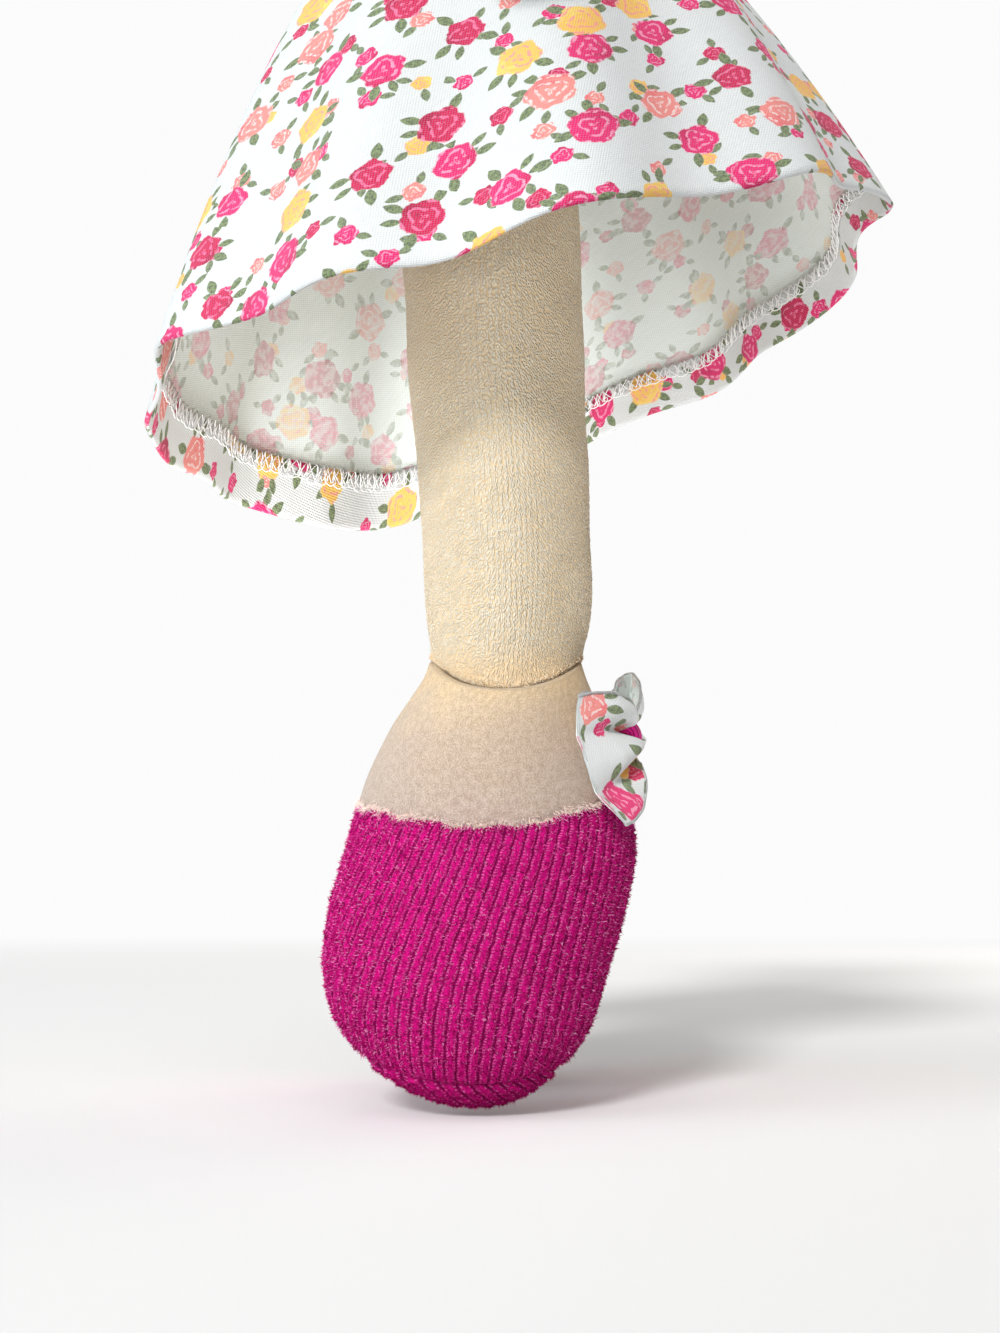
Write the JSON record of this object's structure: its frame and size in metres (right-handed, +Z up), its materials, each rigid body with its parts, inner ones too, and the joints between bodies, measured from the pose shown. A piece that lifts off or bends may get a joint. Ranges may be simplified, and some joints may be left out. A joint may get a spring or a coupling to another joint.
{
  "type": "rag doll",
  "caption": "Stuffed cloth rag doll in a gathered print dress, with corduroy shoes, fabric bows, wool hair and limbs that swing at sewn joints.",
  "frame": {"origin": "middle of the waist seam, where the doll is held or hung", "axes": "+Z up along the body, -Y the way the face and the toes look, +X the doll's own left"},
  "size_m": [0.217, 0.1864, 0.4889],
  "materials": {
    "cream_terry": "looped cream terry pile",
    "peach_velour": "short peach velour",
    "magenta_corduroy": "wide-wale magenta corduroy",
    "rose_print_cotton": "plain-weave cotton with a small rose print",
    "magenta_binding": "ribbed magenta cotton",
    "brown_wool": "brown wool yarn",
    "dark_thread": "dark satin stitch",
    "rose_thread": "rose embroidery thread",
    "red_thread": "red embroidery thread"
  },
  "bodies": {
    "torso": {"torso": "cream_terry", "bodice": "rose_print_cotton", "neck_binding": "magenta_binding", "skirt": "rose_print_cotton"},
    "neck": {"neck": "cream_terry"},
    "head": {"head": "cream_terry", "hair": "brown_wool", "fringe": "brown_wool", "bunch_left": "brown_wool", "bunch_right": "brown_wool", "hair_tie_left": "magenta_binding", "hair_tie_right": "magenta_binding", "eye_left": "dark_thread", "eye_right": "dark_thread", "nose": "rose_thread", "mouth": "red_thread"},
    "arm_left": {"arm_left": "cream_terry", "sleeve_left": "rose_print_cotton"},
    "arm_right": {"arm_right": "cream_terry", "sleeve_right": "rose_print_cotton"},
    "leg_left": {"leg_left": "cream_terry"},
    "leg_right": {"leg_right": "cream_terry"},
    "foot_left": {"foot_left": "peach_velour", "shoe_left": "magenta_corduroy", "bow_left": "rose_print_cotton", "bow_knot_left": "magenta_binding"},
    "foot_right": {"foot_right": "peach_velour", "shoe_right": "magenta_corduroy", "bow_right": "rose_print_cotton", "bow_knot_right": "magenta_binding"}
  },
  "joints": [
    {"name": "neck_turn", "type": "hinge", "parent": "torso", "child": "neck", "pos_m": [0, 0, 0.055], "axis": [0, 0, 1], "range_deg": [-40, 40]},
    {"name": "head_nod", "type": "hinge", "parent": "neck", "child": "head", "pos_m": [0, 0, 0.08], "axis": [1, 0, 0], "range_deg": [-12, 12], "stiffness_Nm_per_rad": 0.15},
    {"name": "shoulder_left", "type": "hinge", "parent": "torso", "child": "arm_left", "pos_m": [0.054, 0, 0.041], "axis": [-1, 0, 0], "range_deg": [-50, 110]},
    {"name": "shoulder_right", "type": "hinge", "parent": "torso", "child": "arm_right", "pos_m": [-0.054, 0, 0.041], "axis": [-1, 0, 0], "range_deg": [-50, 110]},
    {"name": "hip_left", "type": "hinge", "parent": "torso", "child": "leg_left", "pos_m": [0.028, 0.004, -0.055], "axis": [-1, 0, 0], "range_deg": [-28, 50]},
    {"name": "hip_right", "type": "hinge", "parent": "torso", "child": "leg_right", "pos_m": [-0.028, 0.004, -0.055], "axis": [-1, 0, 0], "range_deg": [-28, 50]},
    {"name": "ankle_left", "type": "hinge", "parent": "leg_left", "child": "foot_left", "pos_m": [0.028, 0, -0.195], "axis": [-1, 0, 0], "range_deg": [-12, 28], "stiffness_Nm_per_rad": 0.05},
    {"name": "ankle_right", "type": "hinge", "parent": "leg_right", "child": "foot_right", "pos_m": [-0.028, 0, -0.195], "axis": [-1, 0, 0], "range_deg": [-12, 28], "stiffness_Nm_per_rad": 0.05}
  ]
}
